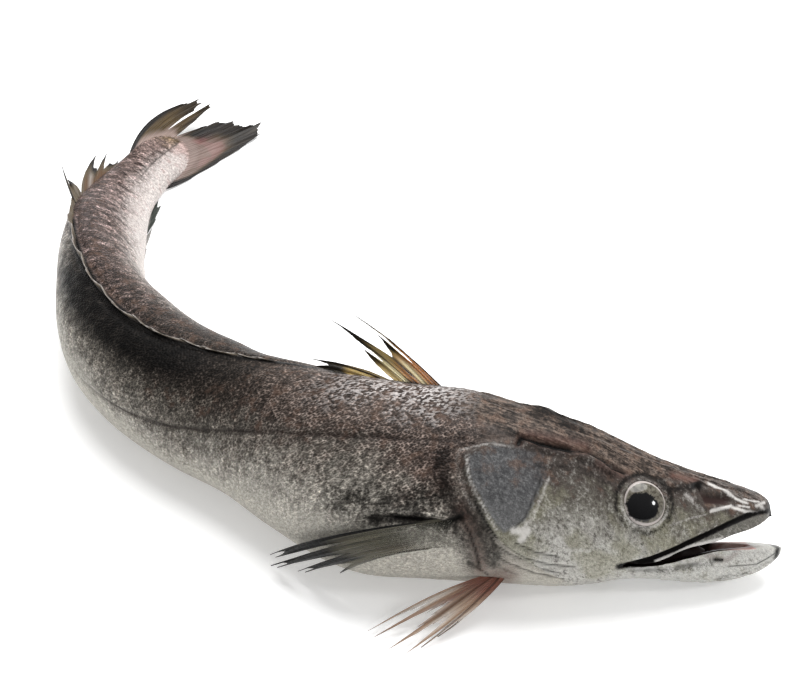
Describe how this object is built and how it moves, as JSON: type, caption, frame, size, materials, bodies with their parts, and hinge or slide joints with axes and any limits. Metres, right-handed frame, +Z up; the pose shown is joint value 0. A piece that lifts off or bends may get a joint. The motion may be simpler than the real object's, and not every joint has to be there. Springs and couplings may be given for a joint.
{
  "type": "whole hake",
  "caption": "Whole raw hake curled on its belly, mouth a little open, with first dorsal fin raised, paired fins spread and tail fin turned on its side.",
  "frame": {"origin": "middle of the outline on the surface the fish lies on, at the height of that surface", "axes": "+Z up; +X towards the head; +Y towards the tail, along the longest extent of the curled fish"},
  "size_m": [0.2384, 0.2942, 0.0687],
  "materials": {
    "skin": "wet scaled skin, charcoal brown on the back, grey on the flanks and pale on the belly",
    "fin": "wet translucent fin skin over darker rays",
    "mouth": "moist pinkish lining, dark further in",
    "eye": "clear glossy cornea over a grey-beige iris and a black pupil"
  },
  "bodies": {
    "root": {"fish": "skin", "eye_right": "eye", "eye_left": "eye"}
  },
  "joints": []
}
